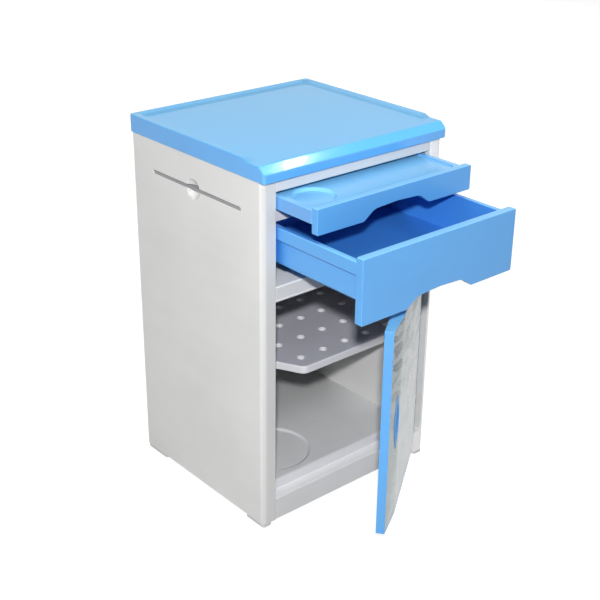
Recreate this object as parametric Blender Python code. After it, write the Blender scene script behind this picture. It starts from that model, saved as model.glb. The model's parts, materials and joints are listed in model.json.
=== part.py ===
"""Hospital bedside cabinet in moulded ABS: tray, deep drawer, side towel rack and one hinged door.

Metres, +Z up, the front faces -Y and +X is to the right of someone standing in front of it. The
pieces are drawn about the middle of the body's footprint, shut. Every moving piece is a child of an
empty on its joint axis, and the empties hold the pulled-out and part-open pose. Last, everything
moves along Y so that the origin is the bottom centre of the whole cabinet in that pose.
"""

import math

import bmesh
import bpy

BODY_WIDTH = 0.454
BODY_DEPTH = 0.409
HALF_W = BODY_WIDTH / 2
HALF_D = BODY_DEPTH / 2
TOTAL_HEIGHT = 0.760
FOOT_HEIGHT = 0.008
BODY_TOP = 0.724
TOP_BACK = 0.2072
SIDE_THICKNESS = 0.032
INNER_X = HALF_W - SIDE_THICKNESS
CLEAR = 0.0003
SPAN_X = INNER_X - CLEAR
SIDE_HOLLOW_TOP = 0.625
BACK_FACE = 0.1970
SPAN_BACK = BACK_FACE - CLEAR

OPENING_TOP = 0.7015
PARTITION_Z = (0.6378, 0.6655)
PARTITION_FRONT = -0.1860
DIVIDER_BAR_Z = (0.4885, 0.5190)
DIVIDER_BAR_BACK = -0.160
SILL_Z = 0.058
SILL_BACK = -0.1775
FLOOR_Z = 0.078

SLOT_Y = (-0.1425, 0.1350)
SLOT_Z = (0.6562, 0.6632)
RACK_CLEAR = 0.001

HINGE_X = 0.204
HINGE_Y = -0.190
BARREL_RADIUS = 0.006
PIN_RADIUS = 0.0022
PIN_HOLE_RADIUS = 0.0026
HINGE_REBATE_X = 0.2156
DOOR_Z = (0.0595, 0.4873)
DOOR_FREE_X = -0.396
DOOR_HINGE_X = -0.0068
DOOR_EDGE_Y = -0.0065
DOOR_CROWN_Y = -0.0135
DOOR_INNER_Y = 0.0105
CROWN_WIDTH = 0.073
DOOR_OPEN_DEGREES = 36.0
BARREL_GAP_Z = (0.3625, 0.3865)
HANDLE_CENTRE = (-0.343, 0.277)
HANDLE_HALF = (0.0155, 0.058)
FILM_THICK = 0.0015
FILM_BORDER = 0.003

TRAY_PULL = 0.1085
DRAWER_PULL = 0.224
FRONT_HALF_W = 0.1938
SLIDE_HALF_W = 0.1925
FRONT_FACE_Y = -0.2043
TRAY_FRONT_Z = (0.6515, 0.7005)
TRAY_FRONT_THICK = 0.015
DRAWER_FRONT_Z = (0.5225, 0.6460)
DRAWER_FRONT_THICK = 0.017
SHIFT_Y = (DRAWER_PULL - FRONT_FACE_Y - TOP_BACK) / 2

WHITE = (0.72, 0.73, 0.74, 1.0)
LINER = (0.50, 0.51, 0.52, 1.0)
BLUE = (0.13, 0.38, 0.80, 1.0)
SKY = (0.26, 0.56, 0.88, 1.0)
FILM = (0.52, 0.58, 0.56, 1.0)
RACK_GREY = (0.33, 0.34, 0.36, 1.0)
STEEL = (0.55, 0.55, 0.56, 1.0)
DARK = (0.03, 0.03, 0.03, 1.0)


def clear_scene():
    """Removes everything the start-up file holds."""
    for item in list(bpy.data.objects):
        bpy.data.objects.remove(item, do_unlink=True)


def material(name, colour, roughness, metallic=0.0):
    """A Principled material with the colour, roughness and metallic value of one piece."""
    made = bpy.data.materials.new(name)
    made.use_nodes = True
    shader = made.node_tree.nodes["Principled BSDF"]
    shader.inputs["Base Color"].default_value = colour
    shader.inputs["Roughness"].default_value = roughness
    shader.inputs["Metallic"].default_value = metallic
    made.diffuse_color = colour
    return made


def finish(obj, colour, roughness=0.35, metallic=0.0):
    """Gives a piece its own material and smooth shading with sharp corners kept."""
    obj.data.materials.append(material(obj.name + "_finish", colour, roughness, metallic))
    obj.data.shade_smooth()
    obj.data.set_sharp_from_angle(angle=math.radians(35))
    return obj


def from_rings(name, rings):
    """A closed body through a list of equal-length point rings, capped at both ends."""
    mesh = bpy.data.meshes.new(name)
    shape = bmesh.new()
    loops = [[shape.verts.new(point) for point in ring] for ring in rings]
    count = len(loops[0])
    for lower, upper in zip(loops, loops[1:]):
        for i in range(count):
            j = (i + 1) % count
            shape.faces.new((lower[i], lower[j], upper[j], upper[i]))
    shape.faces.new(loops[0])
    shape.faces.new(loops[-1])
    bmesh.ops.recalc_face_normals(shape, faces=shape.faces)
    shape.to_mesh(mesh)
    shape.free()
    obj = bpy.data.objects.new(name, mesh)
    bpy.context.collection.objects.link(obj)
    return obj


def placed(axis, first, second, along):
    """A point given as two outline values and a distance along the axis the outline is swept on."""
    if axis == "X":
        return (along, first, second)
    if axis == "Y":
        return (first, along, second)
    return (first, second, along)


def prism(name, outline, low, high, axis="Z"):
    """The outline swept along one axis. It is (y, z) for X, (x, z) for Y and (x, y) for Z."""
    rings = [[placed(axis, a, b, end) for a, b in outline] for end in (low, high)]
    return from_rings(name, rings)


def frustum(name, low_outline, high_outline, low, high):
    """A vertical body that changes evenly from one plan outline to another."""
    rings = [[(x, y, low) for x, y in low_outline], [(x, y, high) for x, y in high_outline]]
    return from_rings(name, rings)


def fillet(corners, steps=6):
    """Rounds the corners of an outline, each given as (first, second, radius)."""
    outline = []
    count = len(corners)
    for i in range(count):
        x, y, radius = corners[i]
        if radius == 0:
            outline.append((x, y))
            continue
        before = corners[i - 1]
        after = corners[(i + 1) % count]
        outline += corner_arc((x, y), before[:2], after[:2], radius, steps)
    return outline


def corner_arc(corner, before, after, radius, steps):
    """Points of the arc that rounds one corner of an outline."""
    ax, ay = unit(before[0] - corner[0], before[1] - corner[1])
    bx, by = unit(after[0] - corner[0], after[1] - corner[1])
    half = math.acos(max(-1.0, min(1.0, ax * bx + ay * by))) / 2
    mx, my = unit(ax + bx, ay + by)
    reach = radius / math.sin(half)
    centre = (corner[0] + mx * reach, corner[1] + my * reach)
    back = radius / math.tan(half)
    start = math.atan2(corner[1] + ay * back - centre[1], corner[0] + ax * back - centre[0])
    end = math.atan2(corner[1] + by * back - centre[1], corner[0] + bx * back - centre[0])
    turn = (end - start + math.pi) % (2 * math.pi) - math.pi
    angles = [start + turn * k / steps for k in range(steps + 1)]
    return [(centre[0] + radius * math.cos(a), centre[1] + radius * math.sin(a)) for a in angles]


def unit(x, y):
    """The direction of a plane vector."""
    length = math.hypot(x, y)
    return x / length, y / length


def rectangle(x_range, y_range, radius=0.0):
    """The outline of a rectangle, with all four corners rounded alike."""
    x0, x1 = x_range
    y0, y1 = y_range
    return fillet([(x0, y0, radius), (x1, y0, radius), (x1, y1, radius), (x0, y1, radius)])


def circle(centre, radius, sides=32):
    """The outline of a circle."""
    turns = [2 * math.pi * k / sides for k in range(sides)]
    return [(centre[0] + radius * math.cos(t), centre[1] + radius * math.sin(t)) for t in turns]


def block(name, x_range, y_range, z_range, radius=0.0):
    """A box given by its ranges, with rounded upright corners when a radius is given."""
    return prism(name, rectangle(x_range, y_range, radius), z_range[0], z_range[1])


def ball(name, centre, radius):
    """A sphere used as a cutter for dished recesses."""
    rings = []
    rows = 24
    for k in range(1, rows):
        angle = math.pi * k / rows
        ring = circle((centre[0], centre[1]), radius * math.sin(angle), 40)
        rings.append([(x, y, centre[2] - radius * math.cos(angle)) for x, y in ring])
    return from_rings(name, rings)


def carve(target, cutter, operation="DIFFERENCE"):
    """Cuts one body out of another, or joins it on."""
    change = target.modifiers.new(cutter.name, "BOOLEAN")
    change.operation = operation
    change.solver = "EXACT"
    change.object = cutter
    cutter.hide_render = True
    cutter.display_type = "WIRE"
    return target


def joint_empty(name, location, turn_degrees=0.0):
    """An empty on a joint axis. It is the parent of every piece that moves with the joint."""
    empty = bpy.data.objects.new(name, None)
    empty.location = location
    empty.rotation_euler = (0.0, 0.0, math.radians(turn_degrees))
    bpy.context.collection.objects.link(empty)
    return empty


def ride(empty, pieces):
    """Hangs pieces, and the cutters that shape them, on a joint."""
    for piece in pieces:
        piece.parent = empty
        for change in piece.modifiers:
            if change.type == "BOOLEAN":
                change.object.parent = empty


def side_outline(sign):
    """The plan of one double-wall side, with a large radius on its front outer corner."""
    outer = sign * HALF_W
    inner = sign * INNER_X
    corners = [
        (outer, -HALF_D, 0.011),
        (inner, -HALF_D, 0.0015),
        (inner, HALF_D, 0.0015),
        (outer, HALF_D, 0.006),
    ]
    return fillet(corners)


def side_body(name, sign):
    """One side, hollow from below behind its front post."""
    side = prism(name, side_outline(sign), FOOT_HEIGHT, BODY_TOP - CLEAR)
    wall = 0.0035
    x_range = sorted((sign * (INNER_X + wall), sign * (HALF_W - wall)))
    y_range = (-0.170, HALF_D - 0.006)
    return carve(side, block(name + "_hollow_cut", x_range, y_range, (0.0, SIDE_HOLLOW_TOP), 0.006))


def left_side():
    """The left side, with the towel-rack slot and the dished thumb recess over it."""
    side = side_body("left_side", -1)
    outline = rectangle(SLOT_Y, SLOT_Z, 0.003)
    carve(side, prism("rack_slot_cut", outline, -HALF_W - 0.01, -INNER_X + 0.01, "X"))
    recess_radius = 0.0205
    recess_depth = 0.010
    ball_radius = (recess_radius**2 + recess_depth**2) / (2 * recess_depth)
    centre = (-HALF_W + recess_depth - ball_radius, 0.002, 0.658)
    carve(side, ball("thumb_recess_cut", centre, ball_radius))
    return finish(side, WHITE)


def right_side():
    """The right side, with the hinge rebate in its front post and the bore for the hinge rod."""
    side = side_body("right_side", 1)
    corners = [
        (INNER_X - 0.01, -HALF_D - 0.01, 0.0),
        (HINGE_REBATE_X, -HALF_D - 0.01, 0.0),
        (HINGE_REBATE_X, SILL_BACK, 0.005),
        (INNER_X - 0.01, SILL_BACK, 0.0),
    ]
    carve(side, prism("hinge_rebate_cut", fillet(corners), SILL_Z, DIVIDER_BAR_Z[0]))
    bore = circle((HINGE_X, HINGE_Y), PIN_HOLE_RADIUS, 24)
    carve(side, prism("hinge_bore_cut", bore, SILL_Z - 0.012, DIVIDER_BAR_Z[0] + 0.012))
    return finish(side, WHITE)


def back_panel():
    """The back, with two shallow pressed fields on its outer face."""
    faces_y = (BACK_FACE, HALF_D - 0.001)
    z_range = (FOOT_HEIGHT + 0.002, BODY_TOP - CLEAR)
    panel = block("back_panel", (-SPAN_X, SPAN_X), faces_y, z_range)
    for i, field_z in enumerate(((0.10, 0.38), (0.42, 0.68))):
        outline = rectangle((-0.150, 0.150), field_z, 0.015)
        carve(panel, prism(f"back_field_cut_{i}", outline, faces_y[1] - 0.002, HALF_D + 0.01, "Y"))
    return finish(panel, WHITE, 0.45)


def top_rail():
    """The rail over the tray opening."""
    corners = [
        (-HALF_D, OPENING_TOP, 0.003),
        (-0.1785, OPENING_TOP, 0.001),
        (-0.1785, BODY_TOP - CLEAR, 0.0),
        (-HALF_D, BODY_TOP - CLEAR, 0.0),
    ]
    return finish(prism("top_rail", fillet(corners, 4), -SPAN_X, SPAN_X, "X"), WHITE)


def top_panel():
    """The blue top: raised rim on the sides and back, low chamfered front, hollow underneath."""
    half_w = 0.2297
    front = -0.2128
    back = TOP_BACK
    deck = 0.7546
    corners = [
        (-half_w, front, 0.006),
        (half_w, front, 0.006),
        (half_w, back, 0.006),
        (-half_w, back, 0.006),
    ]
    panel = prism("top_panel", fillet(corners), BODY_TOP, TOTAL_HEIGHT)
    carve(panel, top_dish_cutter(half_w, back, deck))
    carve(panel, top_front_cutter(half_w, front, deck))
    skirt = 0.010
    pocket = ((-half_w + skirt, half_w - skirt), (front + skirt, back - skirt))
    carve(panel, block("top_pocket_cut", pocket[0], pocket[1], (BODY_TOP - 0.01, 0.745), 0.006))
    return finish(panel, SKY, 0.3)


def top_dish_cutter(half_w, back, deck):
    """The dish inside the rim, whose walls slope outward to the rim's narrow crest."""
    crest = 0.009
    foot = 0.020
    rise = TOTAL_HEIGHT - deck
    reach = 2.0
    outlines = []
    for inset in (foot, foot - (foot - crest) * reach):
        x = half_w - inset
        y = back - inset
        corners = [(-x, -0.30, 0.0), (x, -0.30, 0.0), (x, y, 0.014), (-x, y, 0.014)]
        outlines.append(fillet(corners))
    return frustum("top_dish_cut", outlines[0], outlines[1], deck, deck + rise * reach)


def top_front_cutter(half_w, front, deck):
    """Lowers the rim toward the front and chamfers the front edge."""
    outline = [
        (-0.1535, TOTAL_HEIGHT),
        (-0.1675, deck),
        (front + 0.0157, deck),
        (front, deck - 0.0136),
        (front - 0.02, deck - 0.0136),
        (front - 0.02, TOTAL_HEIGHT + 0.02),
        (-0.1535, TOTAL_HEIGHT + 0.02),
    ]
    return prism("top_front_cut", outline, -half_w - 0.01, half_w + 0.01, "X")


def partition():
    """The level between tray and drawer. It is hollow and houses the towel rack."""
    z_range = PARTITION_Z
    level = block("partition", (-SPAN_X, SPAN_X), (PARTITION_FRONT, SPAN_BACK), z_range)
    carve(level, block("rack_housing_cut", (-0.21, 0.125), SLOT_Y, SLOT_Z, 0.003))
    pocket_top = 0.652
    for i, x_range in enumerate(((-0.180, -0.006), (0.006, 0.180))):
        pocket = ((-0.160, 0.175), (z_range[0] - 0.01, pocket_top))
        carve(level, block(f"partition_pocket_cut_{i}", x_range, pocket[0], pocket[1], 0.008))
    return finish(level, WHITE)


def divider():
    """The dust panel over the door compartment, with a deep front bar and a fine shadow groove."""
    bottom, top = DIVIDER_BAR_Z
    groove = (0.4922, 0.4934)
    groove_depth = 0.0015
    panel = (0.500, 0.508)
    outline = [
        (-HALF_D, bottom),
        (DIVIDER_BAR_BACK, bottom),
        (DIVIDER_BAR_BACK, panel[0]),
        (SPAN_BACK, panel[0]),
        (SPAN_BACK, panel[1]),
        (DIVIDER_BAR_BACK, panel[1]),
        (DIVIDER_BAR_BACK, top),
        (-HALF_D + 0.002, top),
        (-HALF_D, top - 0.002),
        (-HALF_D, groove[1]),
        (-HALF_D + groove_depth, groove[1]),
        (-HALF_D + groove_depth, groove[0]),
        (-HALF_D, groove[0]),
    ]
    return finish(prism("divider", outline, -SPAN_X, SPAN_X, "X"), WHITE)


def base_frame():
    """The plinth with its front rail, hollow from below."""
    corners = [
        (-HALF_D, FOOT_HEIGHT, 0.003),
        (SPAN_BACK, FOOT_HEIGHT, 0.0),
        (SPAN_BACK, SILL_Z, 0.0),
        (-HALF_D, SILL_Z, 0.002),
    ]
    frame = prism("base_frame", fillet(corners, 3), -SPAN_X, SPAN_X, "X")
    wall = 0.022
    pocket = ((-SPAN_X + wall, SPAN_X - wall), (-HALF_D + wall, SPAN_BACK - wall))
    carve(frame, block("base_pocket_cut", pocket[0], pocket[1], (0.0, SILL_Z - 0.006), 0.010))
    return finish(frame, WHITE, 0.4)


def floor_tray():
    """The compartment floor with a rounded front lip and a shallow round seat at the left."""
    corners = [
        (SILL_BACK, SILL_Z + CLEAR, 0.0),
        (SPAN_BACK, SILL_Z + CLEAR, 0.0),
        (SPAN_BACK, FLOOR_Z, 0.0),
        (SILL_BACK, FLOOR_Z, 0.006),
    ]
    tray = prism("floor_tray", fillet(corners), -SPAN_X, SPAN_X, "X")
    centre = (-0.104, -0.0765)
    depth = 0.004
    low = circle(centre, 0.0785, 64)
    high = circle(centre, 0.0905, 64)
    carve(tray, frustum("floor_seat_cut", low, high, FLOOR_Z - depth, FLOOR_Z + depth))
    pocket = ((-0.185, 0.185), (SILL_BACK + 0.010, SPAN_BACK - 0.008))
    carve(tray, block("floor_under_cut", pocket[0], pocket[1], (0.05, FLOOR_Z - 2 * depth), 0.008))
    return finish(tray, LINER, 0.4)


def shelf_outline(inset):
    """The shelf plan: straight front with an S-shaped setback at the left, shrunk by an inset."""
    side = 0.1935 - inset
    front = -0.176 + inset
    back = 0.188 - inset
    setback = -0.118 + inset
    step_x = -0.098 + inset
    shoulder = -0.128 + inset
    corners = [
        (side, front, 0.002),
        (side, back, 0.002),
        (-side, back, 0.002),
        (-side, setback, 0.002),
        (shoulder, setback, 0.018),
        (step_x, front, 0.018),
    ]
    return fillet(corners, 8)


def shelf_hole_centres():
    """The vent holes stand in rows and columns. The first would fall in the setback."""
    pitch_x = 0.0592
    pitch_y = 0.0695
    places = [(column, row) for column in range(6) for row in range(5)]
    return [(-0.1365 + column * pitch_x, -0.1400 + row * pitch_y) for column, row in places[1:]]


def shelf():
    """The loose shelf: a plate with a turned-down lip and rows of holes with collars under them."""
    top = 0.310
    lip = 0.016
    plate = 0.005
    wall = 0.004
    collar = 0.0105
    hole_radius = 0.0085
    piece = prism("shelf", shelf_outline(0.0), top - lip, top)
    pocket = prism("shelf_pocket_cut", shelf_outline(wall), top - 2 * lip, top - plate)
    carve(piece, pocket)
    for k, centre in enumerate(shelf_hole_centres()):
        outer = circle(centre, hole_radius + 0.003, 20)
        carve(pocket, prism(f"shelf_collar_{k}", outer, top - collar, top - plate + 0.001))
        bore = circle(centre, hole_radius, 20)
        carve(piece, prism(f"shelf_hole_cut_{k}", bore, top - 2 * collar, top + 0.01))
    return finish(piece, LINER, 0.4)


def mirrored_strips(name, inner_x, y_range, z_range, colour):
    """A strip fixed along the inner face of each side."""
    strips = []
    for word, sign in (("left", -1), ("right", 1)):
        x_range = sorted((sign * inner_x, sign * SPAN_X))
        strip = block(f"{name}_{word}", x_range, y_range, z_range, 0.0015)
        strips.append(finish(strip, colour, 0.4))
    return strips


def pull_front(name, z_range, thickness):
    """A tray or drawer front with the finger arch cut in the middle of its lower edge."""
    bottom, top = z_range
    arch_half = 0.083
    arch_rise = 0.0215
    corners = [
        (-FRONT_HALF_W, bottom, 0.003),
        (-arch_half, bottom, 0.006),
        (-arch_half + 0.026, bottom + arch_rise - 0.003, 0.030),
        (0.0, bottom + arch_rise, 0.0),
        (arch_half - 0.026, bottom + arch_rise - 0.003, 0.030),
        (arch_half, bottom, 0.006),
        (FRONT_HALF_W, bottom, 0.003),
        (FRONT_HALF_W, top, 0.003),
        (-FRONT_HALF_W, top, 0.003),
    ]
    return prism(name, fillet(corners), FRONT_FACE_Y, FRONT_FACE_Y + thickness, "Y")


def tray_pieces():
    """The pull-out tray: a shallow pan with a cup recess, and its front."""
    front = finish(pull_front("tray_front", TRAY_FRONT_Z, TRAY_FRONT_THICK), BLUE, 0.3)
    start = FRONT_FACE_Y + TRAY_FRONT_THICK + CLEAR
    length = 0.360
    bottom = 0.6685
    rim = 0.6940
    pan_floor = 0.6905
    plan_x = (-SLIDE_HALF_W, SLIDE_HALF_W)
    pan = block("tray_pan", plan_x, (start, start + length), (bottom, rim), 0.004)
    band = 0.012
    dish_x = (-SLIDE_HALF_W + band, SLIDE_HALF_W - band)
    dish_y = (start + band, start + length - band)
    carve(pan, block("tray_dish_cut", dish_x, dish_y, (pan_floor, rim + 0.01), 0.014))
    cup = (-0.130, -0.1225)
    low = circle(cup, 0.036, 48)
    high = circle(cup, 0.046, 48)
    carve(pan, frustum("tray_cup_cut", low, high, pan_floor - 0.006, pan_floor + 0.006))
    under_x = (-SLIDE_HALF_W + 0.004, SLIDE_HALF_W - 0.004)
    under_y = (start + 0.004, start + length - 0.004)
    carve(pan, block("tray_under_cut", under_x, under_y, (bottom - 0.01, 0.6810), 0.003))
    return [front, finish(pan, SKY, 0.3)]


def drawer_pieces():
    """The deep drawer: a box hung from side flanges, and its front."""
    front = finish(pull_front("drawer_front", DRAWER_FRONT_Z, DRAWER_FRONT_THICK), BLUE, 0.3)
    start = FRONT_FACE_Y + DRAWER_FRONT_THICK + CLEAR
    length = 0.355
    bottom = 0.5595
    flange = 0.6115
    rim = 0.636
    wall_x = 0.1845
    corners = [
        (-wall_x, bottom, 0.006),
        (wall_x, bottom, 0.006),
        (wall_x, flange, 0.0),
        (SLIDE_HALF_W, flange, 0.0),
        (SLIDE_HALF_W, rim, 0.003),
        (-SLIDE_HALF_W, rim, 0.003),
        (-SLIDE_HALF_W, flange, 0.0),
        (-wall_x, flange, 0.0),
    ]
    box = prism("drawer_box", fillet(corners, 4), start, start + length, "Y")
    floor_x = 0.1785
    mouth_x = 0.1815
    wall_y = 0.005
    low = rectangle((-floor_x, floor_x), (start + wall_y, start + length - wall_y), 0.010)
    high = rectangle((-mouth_x, mouth_x), (start + wall_y - 0.001, start + length - wall_y), 0.010)
    carve(box, frustum("drawer_hollow_cut", low, high, bottom + 0.004, rim + 0.01))
    return [front, finish(box, BLUE, 0.35)]


def door_section(outset, x_free, x_hinge):
    """The crowned outer line of the door in plan, moved inward by an outset below zero."""
    edge = DOOR_EDGE_Y - outset
    crown = DOOR_CROWN_Y - outset
    return [
        (x_free, edge),
        (DOOR_FREE_X + CROWN_WIDTH, crown),
        (DOOR_HINGE_X - CROWN_WIDTH, crown),
        (x_hinge, edge),
    ]


def lens(centre, half_width, half_height, steps=14):
    """A pointed oval outline standing on its tip, in (x, z)."""
    points = []
    for side in (1, -1):
        for k in range(steps):
            t = -1.0 + 2.0 * k / steps
            bulge = half_width * math.cos(math.pi * t / 2) ** 1.2
            points.append((centre[0] + side * bulge, centre[1] + side * half_height * t))
    return points


def door_pieces():
    """Everything that swings: shell, outer film, inner liner, pull cup, barrels and strike."""
    return [
        door_shell(),
        door_film(),
        door_liner(),
        handle_cup(),
        barrel("hinge_barrel_lower", (DOOR_Z[0], BARREL_GAP_Z[0])),
        barrel("hinge_barrel_upper", (BARREL_GAP_Z[1], DOOR_Z[1])),
        strike_plate(),
    ]


def door_shell():
    """The blue door moulding, with a field for the film, one for the liner and the cup opening."""
    outer = door_section(0.0, DOOR_FREE_X, DOOR_HINGE_X)
    outline = [(DOOR_FREE_X, DOOR_INNER_Y)] + outer + [(DOOR_HINGE_X, DOOR_INNER_Y)]
    shell = prism("door_shell", outline, DOOR_Z[0], DOOR_Z[1])
    sunk = FILM_THICK + CLEAR
    border = FILM_BORDER
    inner_line = door_section(-sunk, DOOR_FREE_X + border, DOOR_HINGE_X - border)
    ahead = DOOR_CROWN_Y - 0.02
    field = [(DOOR_FREE_X + border, ahead)] + inner_line + [(DOOR_HINGE_X - border, ahead)]
    carve(shell, prism("film_field_cut", field, DOOR_Z[0] + border, DOOR_Z[1] - border))
    liner_x = (DOOR_FREE_X + 0.020, DOOR_HINGE_X - 0.012)
    liner_z = (DOOR_Z[0] + 0.020, DOOR_Z[1] - 0.020)
    recess = rectangle(liner_x, liner_z, 0.012)
    recess_y = DOOR_INNER_Y - 0.0023
    carve(shell, prism("liner_field_cut", recess, recess_y, DOOR_INNER_Y + 0.01, "Y"))
    ledge = 0.008
    core_x = (liner_x[0] + ledge, liner_x[1] - ledge)
    core_z = (liner_z[0] + ledge, liner_z[1] - ledge)
    core = rectangle(core_x, core_z, 0.006)
    carve(shell, prism("door_core_cut", core, -0.003, recess_y + 0.005, "Y"))
    hole = lens(HANDLE_CENTRE, HANDLE_HALF[0] + CLEAR, HANDLE_HALF[1] + 0.001)
    carve(shell, prism("cup_opening_cut", hole, -0.05, DOOR_INNER_Y - 0.005, "Y"))
    return finish(shell, BLUE, 0.3)


def door_film():
    """The decorative sheet on the crowned outer face, with the opening for the pull cup."""
    border = FILM_BORDER + CLEAR
    x_free = DOOR_FREE_X + border
    x_hinge = DOOR_HINGE_X - border
    outer = door_section(0.0, x_free, x_hinge)
    inner = door_section(-FILM_THICK, x_free, x_hinge)
    sheet = prism("door_film", outer + inner[::-1], DOOR_Z[0] + border, DOOR_Z[1] - border)
    hole = lens(HANDLE_CENTRE, HANDLE_HALF[0] + CLEAR, HANDLE_HALF[1] + 0.001)
    carve(sheet, prism("film_opening_cut", hole, -0.05, 0.0, "Y"))
    return finish(sheet, FILM, 0.25)


def door_liner():
    """The smooth sheet on the inner face."""
    x_range = (DOOR_FREE_X + 0.0205, DOOR_HINGE_X - 0.0125)
    z_range = (DOOR_Z[0] + 0.0205, DOOR_Z[1] - 0.0205)
    outline = rectangle(x_range, z_range, 0.0115)
    sheet = prism("door_liner", outline, DOOR_INNER_Y - 0.0020, DOOR_INNER_Y, "Y")
    return finish(sheet, LINER, 0.35)


def handle_cup():
    """The lens-shaped finger cup let into the outer face, its border just proud of the film."""
    front = DOOR_CROWN_Y - 0.0012
    back = DOOR_INNER_Y - 0.0055
    cup = prism("handle_cup", lens(HANDLE_CENTRE, HANDLE_HALF[0], HANDLE_HALF[1]), front, back, "Y")
    wall = 0.003
    rings = []
    for shrink, y in ((wall, front - 0.01), (wall, front), (wall + 0.003, back - 0.002)):
        ring = lens(HANDLE_CENTRE, HANDLE_HALF[0] - shrink, HANDLE_HALF[1] - 2 * shrink)
        rings.append([(x, y, z) for x, z in ring])
    carve(cup, from_rings("cup_hollow_cut", rings))
    ahead = front - 0.02
    face = door_section(0.0012, DOOR_FREE_X, DOOR_HINGE_X)
    outline = [(DOOR_FREE_X, ahead)] + face + [(DOOR_HINGE_X, ahead)]
    carve(cup, prism("cup_face_cut", outline, DOOR_Z[0], DOOR_Z[1]))
    return finish(cup, BLUE, 0.3)


def barrel(name, z_range):
    """One length of the round hinge edge, bored for the rod."""
    piece = prism(name, circle((0.0, 0.0), BARREL_RADIUS, 36), z_range[0], z_range[1])
    outline = circle((0.0, 0.0), PIN_HOLE_RADIUS, 24)
    carve(piece, prism(name + "_bore_cut", outline, z_range[0] - 0.01, z_range[1] + 0.01))
    return finish(piece, WHITE)


def strike_plate():
    """The small steel plate the magnet holds."""
    y_range = (DOOR_INNER_Y + CLEAR, DOOR_INNER_Y + 0.0011)
    plate = block("strike_plate", (-0.354, -0.314), y_range, (0.4745, 0.4865))
    return finish(plate, STEEL, 0.3, 1.0)


def hinge_rod():
    """The steel rod the barrels turn on. Its ends sit in the right side."""
    rod_z = (SILL_Z - 0.0115, DIVIDER_BAR_Z[0] + 0.0115)
    rod = prism("hinge_rod", circle((HINGE_X, HINGE_Y), PIN_RADIUS, 24), rod_z[0], rod_z[1])
    return finish(rod, DARK, 0.4, 0.8)


def magnet_catch():
    """The magnet housing under the divider bar, at the free edge of the door."""
    z_range = (0.4745, DIVIDER_BAR_Z[0] - CLEAR)
    catch = block("magnet_catch", (-0.150, -0.110), (-0.1775, -0.1630), z_range, 0.002)
    return finish(catch, WHITE, 0.4)


def towel_rack():
    """The flat towel rack: a ladder frame whose outer edge fills the slot in the left side."""
    y_range = (SLOT_Y[0] + 2 * RACK_CLEAR, SLOT_Y[1] - 2 * RACK_CLEAR)
    z_range = (SLOT_Z[0] + RACK_CLEAR, SLOT_Z[1] - RACK_CLEAR)
    outer = -HALF_W + 0.0002
    rack = block("towel_rack", (outer, 0.115), y_range, z_range, 0.002)
    window_y = (y_range[0] + 0.016, y_range[1] - 0.016)
    window = 0.080
    rail = 0.015
    first = outer + 0.024
    for k in range(3):
        start = first + k * (window + rail)
        x_range = (start, start + window)
        carve(rack, block(f"rack_window_cut_{k}", x_range, window_y, (0.64, 0.68), 0.010))
    return finish(rack, RACK_GREY, 0.4)


def feet():
    """The four corner pads, the rear ones longer than the front ones."""
    pads = []
    for end, y_range in (("front", (-0.203, -0.147)), ("rear", (0.134, 0.203))):
        for word, sign in (("left", -1), ("right", 1)):
            x_range = sorted((sign * 0.2035, sign * 0.2255))
            z_range = (0.0, FOOT_HEIGHT - CLEAR)
            pad = block(f"foot_{end}_{word}", x_range, y_range, z_range, 0.005)
            pads.append(finish(pad, WHITE, 0.5))
    return pads


def back_screws():
    """The screws that hold the back, one above another down each edge."""
    surface = HALF_D - 0.001 + CLEAR
    for k, z in enumerate((0.10, 0.40, 0.70)):
        for word, x in (("left", -0.185), ("right", 0.185)):
            rings = []
            for radius, lift in ((0.0042, 0.0), (0.0042, 0.0004), (0.0030, 0.0010)):
                ring = circle((x, z), radius, 20)
                rings.append([(a, surface + lift, b) for a, b in ring])
            finish(from_rings(f"back_screw_{word}_{k}", rings), STEEL, 0.35, 1.0)


def carcass():
    """Every fixed piece of the body."""
    left_side()
    right_side()
    back_panel()
    top_rail()
    top_panel()
    partition()
    divider()
    base_frame()
    floor_tray()
    shelf()
    mirrored_strips("shelf_ledge", 0.180, (-0.105, 0.180), (0.2817, 0.2937), WHITE)
    mirrored_strips("tray_guide", 0.187, (-0.170, 0.170), (0.6950, 0.7000), WHITE)
    mirrored_strips("drawer_runner", 0.1866, (-0.175, 0.172), (0.598, 0.6108), WHITE)
    hinge_rod()
    magnet_catch()
    feet()
    back_screws()


def moving_pieces():
    """The tray, the drawer, the rack and the door, each hung on its joint."""
    ride(joint_empty("tray_axis", (0.0, -TRAY_PULL, 0.0)), tray_pieces())
    ride(joint_empty("drawer_axis", (0.0, -DRAWER_PULL, 0.0)), drawer_pieces())
    ride(joint_empty("rack_axis", (0.0, 0.0, 0.0)), [towel_rack()])
    hinge = joint_empty("door_axis", (HINGE_X, HINGE_Y, 0.0), DOOR_OPEN_DEGREES)
    ride(hinge, door_pieces())


def move_to_frame():
    """Moves every piece, cutter and joint empty so that the origin is the posed bottom centre."""
    for item in bpy.data.objects:
        if item.parent is None:
            item.location.y += SHIFT_Y


clear_scene()
carcass()
moving_pieces()
move_to_frame()
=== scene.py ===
"""Looks for the hospital bedside cabinet: moulded plastics, printed film, studio light and camera.

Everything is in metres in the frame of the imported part: +Z up, front towards -Y, +X to the right.
"""

import json
import math
from collections import namedtuple

import bmesh
import bpy
from mathutils import Matrix, Vector


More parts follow.
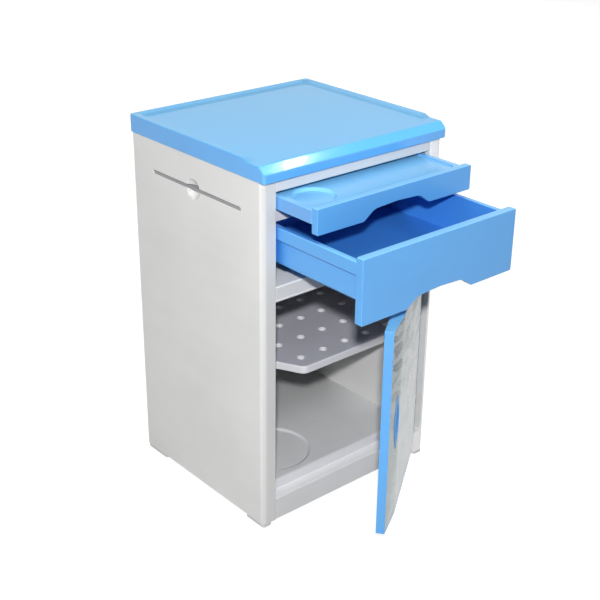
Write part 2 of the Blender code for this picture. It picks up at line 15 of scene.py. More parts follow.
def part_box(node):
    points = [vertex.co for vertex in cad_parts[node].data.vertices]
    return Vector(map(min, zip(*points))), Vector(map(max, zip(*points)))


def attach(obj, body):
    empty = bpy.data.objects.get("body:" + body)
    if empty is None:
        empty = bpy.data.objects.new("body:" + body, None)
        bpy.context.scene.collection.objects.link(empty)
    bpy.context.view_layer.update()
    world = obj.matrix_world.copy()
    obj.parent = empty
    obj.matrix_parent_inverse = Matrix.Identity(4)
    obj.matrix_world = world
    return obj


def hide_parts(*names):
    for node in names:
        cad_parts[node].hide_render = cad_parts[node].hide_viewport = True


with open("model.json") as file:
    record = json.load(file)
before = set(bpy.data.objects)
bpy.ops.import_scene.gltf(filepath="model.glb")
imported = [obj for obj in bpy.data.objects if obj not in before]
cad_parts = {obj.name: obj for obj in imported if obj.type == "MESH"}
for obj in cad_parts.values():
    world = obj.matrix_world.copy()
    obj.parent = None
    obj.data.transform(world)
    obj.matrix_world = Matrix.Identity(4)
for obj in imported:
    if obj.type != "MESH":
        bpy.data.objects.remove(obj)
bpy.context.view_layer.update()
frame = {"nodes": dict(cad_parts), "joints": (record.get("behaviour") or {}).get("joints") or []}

UP = (0.0, 0.0, 1.0)
FORWARD = (0.0, -1.0, 0.0)

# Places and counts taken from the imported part. The shelf's cuts are half a hole pitch apart.
JOINTS = {joint["name"]: joint for joint in frame["joints"]}
DOOR_OPEN = -math.radians(JOINTS["door_hinge"]["range_deg"][0])
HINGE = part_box("hinge_rod")
HINGE_AXIS = (HINGE[0] + HINGE[1]) / 2
HINGE_REBATE_REACH = 0.0116
SHELF_HOLE_PITCH = (0.0592, 0.0695)
SHELF_FIRST_HOLE = (-0.1365, -0.0295)
SHELF_CUTS = (11, 9)
RACK_WINDOWS = 3
RACK_WINDOW_INSET = 0.064
RACK_WINDOW_PITCH = 0.095
SCREWS_PER_SIDE = 3

# Mesh clean-up and edge rounding.
MERGE_DISTANCE = 0.00001
AXIS_SLACK = 0.00002
SURFACE_SLACK = 0.0001
FLAT_ANGLE = math.radians(0.8)
SHARP_ANGLE = math.radians(30.0)
ROUNDING_SEGMENTS = 3

# Edge radii of the three pieces that are rebuilt. A shelf edge is a rim where its side reaches far
# down.
SHELF_RIM_RADIUS = 0.0028
SHELF_HOLE_RADIUS = 0.0007
SHELF_UNDERSIDE_RADIUS = 0.0006
SHELF_RIM_DEPTH = 0.006
SIDE_RADIUS = 0.0010
REBATE_RADIUS = 0.0003
REBATE_SLACK = 0.0005
REBATE_BEHIND_AXIS = 0.02
RACK_RADIUS = 0.0007

# Roughness of the usual mouldings, and the rays of a shader node that looks for edges or hollows.
MOULDED_ROUGHNESS = 0.34
PANEL_ROUGHNESS = 0.42
NODE_SAMPLES = 4

# Base tones, as linear RGB.
WHITE = (0.65, 0.65, 0.655)
# Painted light: the lighter tone of the divider's faces that look up.
WHITE_PAINTED_LIGHT = (0.88, 0.88, 0.87)
PANEL_WHITE = (0.72, 0.72, 0.71)
# Painted light: upright faces of the shelf and the floor are lighter than their tops.
UPRIGHT_LIT_WHITE = (0.69, 0.69, 0.72)
LINER_GREY = (0.50, 0.50, 0.525)
# Painted shade: the shelf's top is darker than its upright faces.
SHELF_TOP_SHADED_GREY = (0.49, 0.49, 0.545)
FLOOR_GREY = (0.71, 0.715, 0.72)
RACK_GREY = (0.30, 0.305, 0.32)
SKY_BLUE = (0.118, 0.41, 0.84)
# Painted light: sheen on the faces of the top that look up.
SKY_PAINTED_LIGHT = (0.105, 0.545, 1.0)
TRAY_BLUE = (0.135, 0.37, 0.76)
# Painted light: sheen on the faces of the tray pan that look up.
TRAY_PAINTED_LIGHT = (0.25, 0.63, 1.0)
BLUE = (0.106, 0.375, 0.78)
# Painted light: sheen on the faces of the blue mouldings that look up.
BLUE_PAINTED_LIGHT = (0.22, 0.60, 1.0)
# Painted shade: the dark blue inside the drawer and the grip cup.
PAINTED_SHADE_BLUE = (0.045, 0.235, 0.70)
PLATED_STEEL = (0.62, 0.62, 0.63)
BLACKENED_STEEL = (0.05, 0.052, 0.055)
RUBBED_PLASTIC = (0.9, 0.92, 0.95)
RUBBED_SATIN = (0.9, 0.9, 0.9)
SOIL = (0.40, 0.38, 0.34)
PAPER_DARK = (0.36, 0.36, 0.365)
PAPER_LIGHT = (0.38, 0.38, 0.38)
PURE_WHITE = (1.0, 1.0, 1.0)

# Heights of the fine bumps.
ORANGE_PEEL = 0.000003
FINE_GRAIN = 0.000003
PANEL_GRAIN = 0.000012
SPARK_GRAIN = 0.00005
TURNING_MARKS = 0.00002
FILM_RIPPLE = 0.00003

# The printed film: marbling, and leaves in two sizes drawn out sideways by the stretch.
FILM_COOL = (0.27, 0.34, 0.34)
FILM_WARM = (0.36, 0.35, 0.365)
FILM_VEIN = (0.40, 0.46, 0.435)
FILM_BLUSH = (0.44, 0.39, 0.40)
FILM_DUSK = (0.17, 0.265, 0.29)
LEAF_INK = (0.035, 0.085, 0.10)
LEAF_RIB = (0.56, 0.64, 0.60)
LeafLayer = namedtuple("LeafLayer", "pitch length width lean strength")
LEAF_LAYERS = (
    LeafLayer(pitch=0.050, length=0.028, width=0.0100, lean=0.58, strength=1.0),
    LeafLayer(pitch=0.036, length=0.020, width=0.0060, lean=0.35, strength=0.9),
)
LEAF_STRETCH = 2.0
LEAF_SPREAD = 0.45

# The camera. Angles are in degrees.
VIEW_TARGET = (0.0491, 0.1213, 0.3454)
VIEW_AZIMUTH = -40.88
VIEW_ELEVATION = 24.82
VIEW_ROLL = 0.66
VIEW_DISTANCE = 2.470
LENS = 69.34
SENSOR_WIDTH = 36.0

# The studio. A lamp is placed by its direction and distance from its target, and a fill is not
# mirrored in the glossy faces. The window lamp makes the streak on the front chamfer.
STUDIO_REACH = 6.0
FLOOR_GLOW = 0.80
AMBIENT = 0.13
BODY_MIDDLE = (0.0, 0.0, 0.4)
UPPER_BODY = (0.0, 0.0, 0.6)
STREAK = (-0.16, -0.10, 0.748)
Lamp = namedtuple("Lamp", "name target azimuth elevation distance size power mirrored")
LAMPS = (
    Lamp("key", VIEW_TARGET, -41.0, 29.4, 2.9, size=0.10, power=68.5, mirrored=True),
    Lamp("overhead", UPPER_BODY, 56.31, 79.78, 2.032, size=1.6, power=6.0, mirrored=True),
    Lamp("fill", BODY_MIDDLE, 72.0, 35.0, 2.6, size=0.9, power=15.0, mirrored=False),
    Lamp("left_fill", BODY_MIDDLE, -96.0, 22.0, 3.0, size=1.2, power=11.0, mirrored=False),
    Lamp("back_fill", BODY_MIDDLE, 145.0, 9.0, 5.6, size=2.6, power=145.0, mirrored=False),
    Lamp("window", STREAK, 72.5, 49.5, 2.4, size=0.07, power=1.3, mirrored=True),
)


class Graph:
    """One material and the shader nodes added to it. Texture scales are per metre."""

    def __init__(self, name):
        self.material = bpy.data.materials.new(name)
        self.material.use_nodes = True
        self.tree = self.material.node_tree
        self.shader = self.tree.nodes["Principled BSDF"]
        self.place = self.add("ShaderNodeTexCoord").outputs["Object"]

    def add(self, kind, **settings):
        node = self.tree.nodes.new(kind)
        for key, value in settings.items():
            setattr(node, key, value)
        return node

    def feed(self, socket, value):
        """Links a socket, or sets a plain number, vector or colour."""
        if isinstance(value, bpy.types.NodeSocket):
            self.tree.links.new(value, socket)
        elif isinstance(value, (tuple, list)) and socket.type == "RGBA":
            socket.default_value = (*value[:3], 1.0)
        else:
            socket.default_value = value

    def math(self, operation, first, second=0.0):
        node = self.add("ShaderNodeMath", operation=operation)
        self.feed(node.inputs[0], first)
        self.feed(node.inputs[1], second)
        return node.outputs[0]

    def vector(self, operation, first, second):
        node = self.add("ShaderNodeVectorMath", operation=operation)
        self.feed(node.inputs[0], first)
        self.feed(node.inputs[1], second)
        return node.outputs["Value"] if operation == "DOT_PRODUCT" else node.outputs[0]

    def scaled(self, factors):
        """The place, with its own texture scale along each axis."""
        return self.vector("MULTIPLY", self.place, factors)

    def facing(self, way):
        """1 on faces turned that way, 0 on those square to it."""
        return self.vector("DOT_PRODUCT", self.add("ShaderNodeNewGeometry").outputs["Normal"], way)

    def noise(self, scale, detail=2.0, place=None, roughness=0.5):
        node = self.add("ShaderNodeTexNoise")
        self.feed(node.inputs["Vector"], place or self.place)
        self.feed(node.inputs["Scale"], scale)
        self.feed(node.inputs["Detail"], detail)
        self.feed(node.inputs["Roughness"], roughness)
        return node.outputs[0]

    def span(self, value, low, high, out_low=0.0, out_high=1.0, smooth=False):
        """A value carried from one range to another, and held at its ends."""
        node = self.add("ShaderNodeMapRange")
        if smooth:
            node.interpolation_type = "SMOOTHSTEP"
        for socket, entry in zip(node.inputs, (value, low, high, out_low, out_high)):
            self.feed(socket, entry)
        return node.outputs[0]

    def mix(self, share, first, second):
        node = self.add("ShaderNodeMix", data_type="RGBA")
        factor, colour_a, colour_b = node.inputs[0], node.inputs[6], node.inputs[7]
        self.feed(factor, share)
        self.feed(colour_a, first)
        self.feed(colour_b, second)
        return node.outputs[2]

    def separate(self, vector):
        node = self.add("ShaderNodeSeparateXYZ")
        self.feed(node.inputs[0], vector)
        return node.outputs

    def turned(self, vector, angle):
        """A vector turned about Z."""
        node = self.add("ShaderNodeVectorRotate", rotation_type="Z_AXIS")
        self.feed(node.inputs["Vector"], vector)
        self.feed(node.inputs["Angle"], angle)
        return node.outputs[0]

    def bump(self, height, distance, under=None):
        node = self.add("ShaderNodeBump")
        self.feed(node.inputs["Height"], height)
        self.feed(node.inputs["Distance"], distance)
        self.feed(node.inputs["Strength"], 1.0)
        if under is not None:
            self.feed(node.inputs["Normal"], under)
        return node.outputs[0]

    def edges(self, radius):
        """Near 1 within a radius of a sharp edge and 0 on open faces."""
        rounded = self.add("ShaderNodeBevel", samples=NODE_SAMPLES)
        self.feed(rounded.inputs["Radius"], radius)
        return self.span(self.facing(rounded.outputs[0]), 0.99, 0.80)

    def hollow_shade_mask(self, reach):
        """Near 1 far inside a recess and 0 on open faces: the mask of painted shade in hollows."""
        open_sky = self.add("ShaderNodeAmbientOcclusion", samples=NODE_SAMPLES)
        self.feed(open_sky.inputs["Distance"], reach)
        return self.span(open_sky.outputs["AO"], 0.40, 0.85, 1.0, 0.0)

    def set(self, **values):
        for key, value in values.items():
            self.feed(self.shader.inputs[key.replace("_", " ")], value)


def shade(colour, factor):
    """A colour made lighter or darker."""
    return tuple(min(1.0, part * factor) for part in colour)


def toward(colour, other, share):
    """A colour moved part of the way to another."""
    return tuple(a + (b - a) * share for a, b in zip(colour, other))


def moulded(name, tone, roughness, grain=FINE_GRAIN, painted_light=None, painted_light_way=UP, painted_shade=None, reach=0.25):
    """Injection-moulded plastic: flow clouding, orange peel, rubbed edges and fine scuffs.

    A tone for faces turned one way, where there is one, is painted light or shade on them. A tone
    for hollows, where there is one, is painted shade in recesses about as wide as the reach.
    """
    g = Graph(name)
    cloud = g.noise(5.0, 4.0)
    flow = g.noise(1.0, 3.0, g.scaled((9.0, 3.0, 26.0)))
    speck = g.noise(1400.0, 1.0)
    body = g.mix(g.span(cloud, 0.3, 0.7), shade(tone, 0.95), shade(tone, 1.04))
    body = g.mix(g.span(flow, 0.45, 0.75, 0.0, 0.35), body, shade(tone, 1.06))
    body = g.mix(g.span(speck, 0.62, 0.78, 0.0, 0.10), body, shade(tone, 0.8))
    rub = g.math("MULTIPLY", g.edges(0.0022), g.span(g.noise(60.0, 3.0), 0.42, 0.7, 0.0, 0.35))
    body = g.mix(rub, body, toward(tone, RUBBED_PLASTIC, 0.45))
    # Painted light or painted shade: faces turned that way take the other tone.
    if painted_light is not None:
        body = g.mix(g.span(g.facing(painted_light_way), 0.45, 0.65), body, painted_light)
    # Painted shade: recesses darken by ambient occlusion.
    if painted_shade is not None:
        body = g.mix(g.hollow_shade_mask(reach), body, painted_shade)
    scuff = g.noise(1.0, 2.0, g.scaled((30.0, 800.0, 900.0)))
    smear = g.noise(14.0, 4.0)
    gloss = g.span(smear, 0.25, 0.75, roughness - 0.04, roughness + 0.05)
    gloss = g.math("ADD", gloss, g.span(scuff, 0.60, 0.80, 0.0, 0.008))
    gloss = g.math("ADD", gloss, g.math("MULTIPLY", rub, 0.3))
    wave = g.bump(g.noise(190.0, 2.0), ORANGE_PEEL)
    g.set(Base_Color=body, Roughness=gloss, Normal=g.bump(g.noise(2600.0, 1.0), grain, wave))
    g.set(IOR=1.53, Specular_IOR_Level=0.5)
    return g.material


def satin(name, tone, roughness, upright_lit=None, painted_shade=None):
    """Spark-eroded plastic of the inner mouldings: an even fine grain, slightly soiled in patches.

    A tone for upright faces, where there is one, is painted light on them. A tone for the back,
    where there is one, is painted shadow that takes over towards the back of the cabinet.
    """
    g = Graph(name)
    body = g.mix(g.span(g.noise(7.0, 4.0), 0.3, 0.7), shade(tone, 0.94), shade(tone, 1.05))
    # Painted shadow: darker towards the back of the cabinet.
    if painted_shade is not None:
        body = g.mix(g.span(g.separate(g.place)[1], 0.03, 0.20, smooth=True), body, painted_shade)
    # Painted light: upright faces are lighter than faces that look up.
    if upright_lit is not None:
        body = g.mix(g.span(g.facing(UP), 0.97, 0.80), body, upright_lit)
    pits = g.noise(1700.0, 2.0)
    body = g.mix(g.span(pits, 0.55, 0.75, 0.0, 0.22), body, shade(tone, 0.72))
    soil = g.span(g.noise(22.0, 5.0), 0.52, 0.75, 0.0, 0.16)
    body = g.mix(soil, body, toward(tone, SOIL, 0.5))
    rub = g.math("MULTIPLY", g.edges(0.0018), g.span(g.noise(70.0, 3.0), 0.4, 0.7, 0.0, 0.25))
    body = g.mix(rub, body, toward(tone, RUBBED_SATIN, 0.4))
    streak = g.noise(1.0, 2.0, g.scaled((600.0, 25.0, 500.0)))
    gloss = g.span(g.noise(18.0, 4.0), 0.25, 0.75, roughness - 0.06, roughness + 0.08)
    gloss = g.math("SUBTRACT", gloss, g.span(streak, 0.62, 0.8, 0.0, 0.06))
    g.set(Base_Color=body, Roughness=gloss, Normal=g.bump(pits, SPARK_GRAIN), IOR=1.52)
    return g.material


def steel(name, tone, roughness):
    """Plated or blackened steel with fine turning marks and dull spots."""
    g = Graph(name)
    marks = g.noise(1.0, 2.0, g.scaled((60.0, 60.0, 900.0)))
    dull = g.span(g.noise(120.0, 4.0), 0.45, 0.75)
    body = g.mix(g.math("MULTIPLY", dull, 0.5), tone, shade(tone, 0.6))
    gloss = g.span(marks, 0.3, 0.7, roughness - 0.06, roughness + 0.08)
    gloss = g.math("ADD", gloss, g.math("MULTIPLY", dull, 0.15))
    g.set(Base_Color=body, Roughness=gloss, Metallic=0.95, Normal=g.bump(marks, TURNING_MARKS))
    return g.material


def door_plane(g):
    """The film's own plane: the point in it, the distance from the hinge and the height."""
    from_hinge = g.vector("SUBTRACT", g.place, tuple(HINGE_AXIS))
    across, _, up = g.separate(g.turned(from_hinge, -DOOR_OPEN))
    flat = g.add("ShaderNodeCombineXYZ")
    g.feed(flat.inputs[0], across)
    g.feed(flat.inputs[1], up)
    return flat.outputs[0], across, up


def leaves(g, plane, layer):
    """Pointed-oval leaves strewn one to a cell. Returns the leaf mask, its midrib and a random tone."""
    cell = g.add("ShaderNodeTexVoronoi", voronoi_dimensions="2D")
    g.feed(cell.inputs["Vector"], plane)
    g.feed(cell.inputs["Scale"], 1.0 / layer.pitch)
    g.feed(cell.inputs["Randomness"], 0.9)
    random = g.separate(cell.outputs["Color"])
    lean = g.span(random[0], 0.0, 1.0, layer.lean - LEAF_SPREAD, layer.lean + LEAF_SPREAD)
    from_middle = g.vector("SUBTRACT", plane, cell.outputs["Position"])
    along, across, _ = g.separate(g.turned(from_middle, lean))
    reach = g.math("DIVIDE", along, layer.length)
    taper = g.math("SUBTRACT", 1.0, g.math("MULTIPLY", reach, reach))
    half = g.math("MULTIPLY", g.math("MAXIMUM", taper, 0.0), layer.width)
    aside = g.math("ABSOLUTE", across)
    body = g.span(g.math("SUBTRACT", half, aside), -0.0012, 0.0022, smooth=True)
    body = g.math("MULTIPLY", body, g.math("GREATER_THAN", taper, 0.0))
    rib = g.math("MULTIPLY", g.span(aside, 0.0011, 0.0003), body)
    return body, rib, random[1]


def printed_film(name):
    """Gloss laminate on the door: pale marbling that warms towards the hinge, leaves near the top."""
    g = Graph(name)
    plane, across, up = door_plane(g)
    warp = g.add("ShaderNodeTexNoise")
    g.feed(warp.inputs["Vector"], plane)
    g.feed(warp.inputs["Scale"], 9.0)
    sway = warp.outputs["Color"]
    bent = g.vector("ADD", plane, g.vector("MULTIPLY", sway, (0.05, 0.05, 0.0)))
    curled = g.vector("ADD", plane, g.vector("MULTIPLY", sway, (0.02, 0.02, 0.0)))

    marble = g.noise(11.0, 5.0, bent, 0.6)
    warm = g.span(g.math("ADD", across, g.span(marble, 0.0, 1.0, -0.05, 0.05)), -0.24, -0.06)
    ground = g.mix(warm, FILM_COOL, FILM_WARM)
    ground = g.mix(g.span(marble, 0.45, 0.7, 0.0, 0.6), ground, FILM_VEIN)
    ground = g.mix(g.span(g.noise(26.0, 4.0, bent), 0.55, 0.72, 0.0, 0.4), ground, FILM_BLUSH)
    high = g.span(up, 0.0, 0.15, 0.12, 1.0)
    ground = g.mix(g.span(high, 0.3, 1.0, 0.0, 0.6), ground, FILM_DUSK)

    inked = g.span(high, 0.2, 1.0, 0.0, 0.6)
    blades = g.vector("MULTIPLY", curled, (1.0 / LEAF_STRETCH, 1.0, 1.0))
    for layer in LEAF_LAYERS:
        body, rib, tone = leaves(g, blades, layer)
        share = g.math("MULTIPLY", body, g.span(tone, 0.15, 1.0, 0.7, layer.strength))
        share = g.math("MULTIPLY", share, high)
        ground = g.mix(share, ground, LEAF_INK)
        inked = g.math("MAXIMUM", inked, share)
        ground = g.mix(g.math("MULTIPLY", rib, 0.15), ground, LEAF_RIB)

    smear = g.noise(20.0, 3.0)
    scratch = g.noise(1.0, 2.0, g.scaled((500.0, 500.0, 30.0)))
    gloss = g.math("ADD", g.span(smear, 0.3, 0.7, 0.15, 0.22), g.span(scratch, 0.68, 0.8, 0.0, 0.04))
    g.set(Base_Color=ground, Roughness=gloss, Normal=g.bump(g.noise(120.0, 2.0), FILM_RIPPLE))
    g.set(IOR=1.36, Specular_IOR_Level=g.span(inked, 0.0, 1.0, 0.4, 0.05))
    return g.material


def soften(node, radius):
    """Rounds a CAD node's sharp edges with modifiers. Its own mesh stays as it is."""
    obj = frame["nodes"][node]
    obj.data.shade_smooth()
    weld = obj.modifiers.new("weld", "WELD")
    weld.merge_threshold = MERGE_DISTANCE
    flat = obj.modifiers.new("flat_faces", "DECIMATE")
    flat.decimate_type = "DISSOLVE"
    flat.angle_limit = FLAT_ANGLE
    bevel = obj.modifiers.new("rounded_edges", "BEVEL")
    bevel.width = radius
    bevel.segments = ROUNDING_SEGMENTS
    bevel.limit_method = "ANGLE"
    bevel.angle_limit = SHARP_ANGLE
    bevel.use_clamp_overlap = False
    even_normals(obj)


def even_normals(obj):
    """Keeps the shading of large faces flat beside their rounded edges."""
    normals = obj.modifiers.new("even_normals", "WEIGHTED_NORMAL")
    normals.weight = 100


def is_flat(edge):
    """True for an edge between two faces of one plane."""
    return len(edge.link_faces) == 2 and edge.calc_face_angle(math.pi) < FLAT_ANGLE


def runs_along_axis(edge):
    """True for an edge parallel to X, Y or Z."""
    run = edge.verts[1].co - edge.verts[0].co
    return sum(abs(part) > AXIS_SLACK for part in run) == 1


def middle_of(edge):
    """The point halfway along an edge."""
    return (edge.verts[0].co + edge.verts[1].co) / 2


def recast(node, body, cuts, radius_of, material):
    """A new piece in a CAD node's shape, with clean faces round its holes and its own edge radii.

    Cuts are (axis, position) planes that leave no hole inside a face. radius_of gives each sharp
    edge's radius.
    """
    shape = bmesh.new()
    shape.from_mesh(frame["nodes"][node].data)
    bmesh.ops.remove_doubles(shape, verts=shape.verts, dist=MERGE_DISTANCE)
    bmesh.ops.dissolve_limit(shape, angle_limit=FLAT_ANGLE, verts=shape.verts, edges=shape.edges)
    for axis, position in cuts:
        normal = Vector((axis == "X", axis == "Y", axis == "Z"))
        parts = shape.verts[:] + shape.edges[:] + shape.faces[:]
        bmesh.ops.bisect_plane(
            shape, geom=parts, plane_co=normal * position, plane_no=normal, dist=MERGE_DISTANCE
        )
    stray = [edge for edge in shape.edges if is_flat(edge) and not runs_along_axis(edge)]
    bmesh.ops.dissolve_edges(shape, edges=stray, use_verts=False)
    sharp = [edge for edge in shape.edges if edge.calc_face_angle(0.0) > SHARP_ANGLE]
    chosen = [(edge, radius_of(edge)) for edge in sharp]
    for radius in sorted({value for _, value in chosen}):
        group = [edge for edge, value in chosen if value == radius and edge.is_valid]
        bmesh.ops.bevel(
            shape, geom=group, offset=radius, segments=ROUNDING_SEGMENTS, profile=0.5,
            affect="EDGES", clamp_overlap=False,
        )
    bmesh.ops.recalc_face_normals(shape, faces=shape.faces)
    mesh = bpy.data.meshes.new(node + "_shape")
    shape.to_mesh(mesh)
    shape.free()
    mesh.shade_smooth()
    mesh.materials.append(material)
    piece = bpy.data.objects.new(node + "_shape", mesh)
    bpy.context.scene.collection.objects.link(piece)
    even_normals(piece)
    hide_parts(node)
    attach(piece, body)


def make_shelf(material):
    """The shelf, with a softly rolled front edge and small radii on its collared holes."""
    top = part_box("shelf")[1].z
    cuts = []
    for axis, first, pitch, count in zip("XY", SHELF_FIRST_HOLE, SHELF_HOLE_PITCH, SHELF_CUTS):
        for k in range(count):
            cuts.append((axis, first + k * pitch / 2))

    def is_rim(edge):
        """True for an edge over an upright face that reaches deeper than a hole's."""
        upright = [face for face in edge.link_faces if face.normal.z < 0.5]
        return bool(upright) and upright[0].calc_center_median().z < top - SHELF_RIM_DEPTH

    def radius_of(edge):
        if middle_of(edge).z > top - SURFACE_SLACK:
            return SHELF_RIM_RADIUS if is_rim(edge) else SHELF_HOLE_RADIUS
        return SHELF_UNDERSIDE_RADIUS

    recast("shelf", "carcass", cuts, radius_of, material)


def make_right_side(material):
    """The right side, with clean faces round the hinge rebate and the rod's bore."""
    cuts = [
        ("X", HINGE_AXIS.x),
        ("Y", HINGE_AXIS.y),
        ("X", HINGE_AXIS.x + HINGE_REBATE_REACH),
        ("Z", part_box("base_frame")[1].z),
        ("Z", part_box("divider")[0].z),
    ]

    def radius_of(edge):
        middle = middle_of(edge)
        beside_axis = abs(middle.x - HINGE_AXIS.x) < HINGE_REBATE_REACH + REBATE_SLACK
        in_rebate = beside_axis and middle.y < HINGE_AXIS.y + REBATE_BEHIND_AXIS
        return REBATE_RADIUS if in_rebate else SIDE_RADIUS

    recast("right_side", "carcass", cuts, radius_of, material)


def make_rack(material):
    """The towel rack, with clean faces round its three windows."""
    low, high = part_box("towel_rack")
    cuts = [("Y", (low.y + high.y) / 2)]
    for k in range(RACK_WINDOWS):
        cuts.append(("X", low.x + RACK_WINDOW_INSET + RACK_WINDOW_PITCH * k))
    recast("towel_rack", "rack", cuts, lambda edge: RACK_RADIUS, material)


def paint(node, material):
    """Gives a CAD node its material."""
    obj = frame["nodes"][node]
    for slot in obj.material_slots:
        slot.link = "OBJECT"
        slot.material = material


def finish_nodes():
    """Rounded edges and the final material of everything that is shown."""
    white = moulded("white_moulding", WHITE, MOULDED_ROUGHNESS)
    # Painted light: the plinth and the divider are lighter on faces that look up.
    plinth = moulded("plinth_moulding", WHITE, MOULDED_ROUGHNESS, painted_light=shade(WHITE, 1.40))
    bar = moulded("bar_moulding", WHITE, MOULDED_ROUGHNESS, painted_light=WHITE_PAINTED_LIGHT)
    # Painted shade on the faces of the left side and back panel turned forwards; painted light on the
    # right side's.
    left_front_painted_shade = shade(PANEL_WHITE, 0.88)
    left = moulded("side_moulding", PANEL_WHITE, PANEL_ROUGHNESS, PANEL_GRAIN, left_front_painted_shade, FORWARD)
    right_front_painted_light = shade(PANEL_WHITE, 1.24)
    right = moulded(
        "right_side_moulding", PANEL_WHITE, PANEL_ROUGHNESS, PANEL_GRAIN, right_front_painted_light, FORWARD
    )
    # Painted light: the blue mouldings are lighter on faces that look up.
    sky = moulded("sky_blue_moulding", SKY_BLUE, 0.13, painted_light=SKY_PAINTED_LIGHT)
    blue = moulded("blue_moulding", BLUE, MOULDED_ROUGHNESS, painted_light=BLUE_PAINTED_LIGHT)
    tray = moulded("tray_moulding", TRAY_BLUE, 0.205, painted_light=TRAY_PAINTED_LIGHT)
    # Painted shade: the drawer's inside and the grip cup darken in their hollows.
    drawer = moulded("drawer_moulding", BLUE, MOULDED_ROUGHNESS, painted_light=BLUE_PAINTED_LIGHT, painted_shade=PAINTED_SHADE_BLUE)
    cup = moulded("cup_moulding", SKY_BLUE, MOULDED_ROUGHNESS, painted_shade=shade(PAINTED_SHADE_BLUE, 0.5), reach=0.06)
    liner = satin("liner_moulding", LINER_GREY, 0.42)
    # Painted shade on the shelf's top, painted light on its upright faces.
    shelf = satin("shelf_moulding", SHELF_TOP_SHADED_GREY, 0.45, upright_lit=UPRIGHT_LIT_WHITE)
    # Painted shadow on the floor towards the back, and painted light on its upright faces.
    floor = satin("floor_moulding", FLOOR_GREY, 0.45, upright_lit=UPRIGHT_LIT_WHITE, painted_shade=shade(FLOOR_GREY, 0.68))
    rack = satin("rack_moulding", RACK_GREY, 0.5)
    pads = satin("pad_moulding", shade(WHITE, 0.95), 0.6)
    film = printed_film("printed_leaf_film")
    plated = steel("plated_steel", PLATED_STEEL, 0.28)
    black = steel("blackened_steel", BLACKENED_STEEL, 0.38)
    make_shelf(shelf)
    make_right_side(right)
    make_rack(rack)

    looks = {
        "left_side": (left, 0.0012),
        "back_panel": (left, 0.0008),
        "top_rail": (white, 0.0009),
        "partition": (white, 0.0009),
        "divider": (bar, 0.0007),
        "base_frame": (plinth, 0.0009),
        "floor_tray": (floor, 0.0009),
        "top_panel": (sky, 0.0016),
        "tray_front": (blue, 0.0013),
        "tray_pan": (tray, 0.0014),
        "drawer_front": (blue, 0.0015),
        "drawer_box": (drawer, 0.0013),
        "door_shell": (blue, 0.0008),
        "door_film": (film, 0.0003),
        "door_liner": (liner, 0.0006),
        "handle_cup": (cup, 0.0004),
        "hinge_barrel_lower": (white, 0.0007),
        "hinge_barrel_upper": (white, 0.0007),
        "strike_plate": (plated, 0.0002),
        "hinge_rod": (black, 0.0004),
        "magnet_catch": (white, 0.0008),
    }
    for side in ("left", "right"):
        looks[f"shelf_ledge_{side}"] = (white, 0.0006)
        looks[f"tray_guide_{side}"] = (white, 0.0006)
        looks[f"drawer_runner_{side}"] = (white, 0.0006)
        looks[f"foot_front_{side}"] = (pads, 0.0010)
        looks[f"foot_rear_{side}"] = (pads, 0.0010)
        for k in range(SCREWS_PER_SIDE):
            looks[f"back_screw_{side}_{k}"] = (plated, 0.00015)
    for node, (material, radius) in looks.items():
        soften(node, radius)
        paint(node, material)


def direction(azimuth, elevation):
    """The unit vector towards a viewer at that azimuth and elevation, in degrees."""
    a = math.radians(azimuth)
    e = math.radians(elevation)
    return Vector((math.sin(a) * math.cos(e), -math.cos(a) * math.cos(e), math.sin(e)))


def studio_floor():
    """The pale floor. The camera and mirroring faces see it glow, so that it reads as white paper."""
    mesh = bpy.data.meshes.new("studio_floor")
    half = STUDIO_REACH
    corners = [(-half, -half, 0.0), (half, -half, 0.0), (half, half, 0.0), (-half, half, 0.0)]
    mesh.from_pydata(corners, [], [(0, 1, 2, 3)])
    floor = bpy.data.objects.new("studio_floor", mesh)
    bpy.context.scene.collection.objects.link(floor)
    g = Graph("studio_floor")
    g.set(Base_Color=g.mix(g.noise(3.0), PAPER_DARK, PAPER_LIGHT), Roughness=0.9)
    path = g.add("ShaderNodeLightPath")
    seen = g.math("MAXIMUM", path.outputs["Is Camera Ray"], path.outputs["Is Glossy Ray"])
    g.set(Emission_Color=PURE_WHITE, Emission_Strength=g.math("MULTIPLY", seen, FLOOR_GLOW))
    mesh.materials.append(g.material)


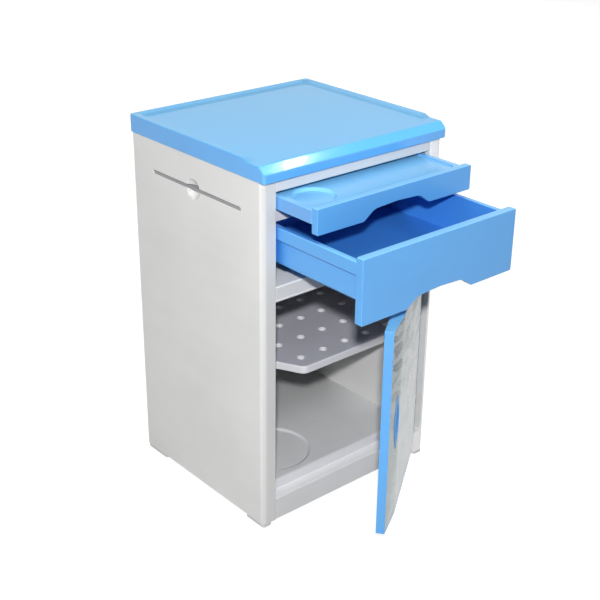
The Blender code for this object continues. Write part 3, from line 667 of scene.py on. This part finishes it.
def area_light(lamp):
    """A square soft light, turned to its target."""
    target = Vector(lamp.target)
    place = target + direction(lamp.azimuth, lamp.elevation) * lamp.distance
    data = bpy.data.lights.new(lamp.name, "AREA")
    data.size = lamp.size
    data.energy = lamp.power
    light = bpy.data.objects.new(lamp.name, data)
    light.location = place
    light.rotation_mode = "QUATERNION"
    light.rotation_quaternion = (target - place).to_track_quat("-Z", "Y")
    light.visible_glossy = lamp.mirrored
    bpy.context.scene.collection.objects.link(light)


def surroundings():
    """White surroundings for the camera and for mirroring faces, and a weak even light for the rest."""
    world = bpy.data.worlds.new("studio")
    bpy.context.scene.world = world
    world.use_nodes = True
    tree = world.node_tree
    shader = tree.nodes["Background"]
    shader.inputs["Color"].default_value = (*PURE_WHITE, 1.0)
    path = tree.nodes.new("ShaderNodeLightPath")
    seen = tree.nodes.new("ShaderNodeMath")
    seen.operation = "MAXIMUM"
    tree.links.new(path.outputs["Is Camera Ray"], seen.inputs[0])
    tree.links.new(path.outputs["Is Glossy Ray"], seen.inputs[1])
    level = tree.nodes.new("ShaderNodeMapRange")
    level.inputs["To Min"].default_value = AMBIENT
    level.inputs["To Max"].default_value = 1.0
    tree.links.new(seen.outputs[0], level.inputs["Value"])
    tree.links.new(level.outputs[0], shader.inputs["Strength"])


def camera():
    """The camera at the viewing angle, with its slight roll."""
    back = direction(VIEW_AZIMUTH, VIEW_ELEVATION)
    right = (-back).cross(Vector(UP)).normalized()
    up = right.cross(-back)
    turn = math.radians(VIEW_ROLL)
    across = right * math.cos(turn) + up * math.sin(turn)
    upward = up * math.cos(turn) - right * math.sin(turn)
    data = bpy.data.cameras.new("view")
    data.lens = LENS
    data.sensor_width = SENSOR_WIDTH
    cam = bpy.data.objects.new("view", data)
    cam.rotation_mode = "QUATERNION"
    cam.rotation_quaternion = Matrix((across, upward, back)).transposed().to_quaternion()
    cam.location = Vector(VIEW_TARGET) + back * VIEW_DISTANCE
    bpy.context.scene.collection.objects.link(cam)
    bpy.context.scene.camera = cam


finish_nodes()
studio_floor()
for lamp in LAMPS:
    area_light(lamp)
surroundings()
camera()
bpy.context.scene.view_settings.view_transform = "Standard"
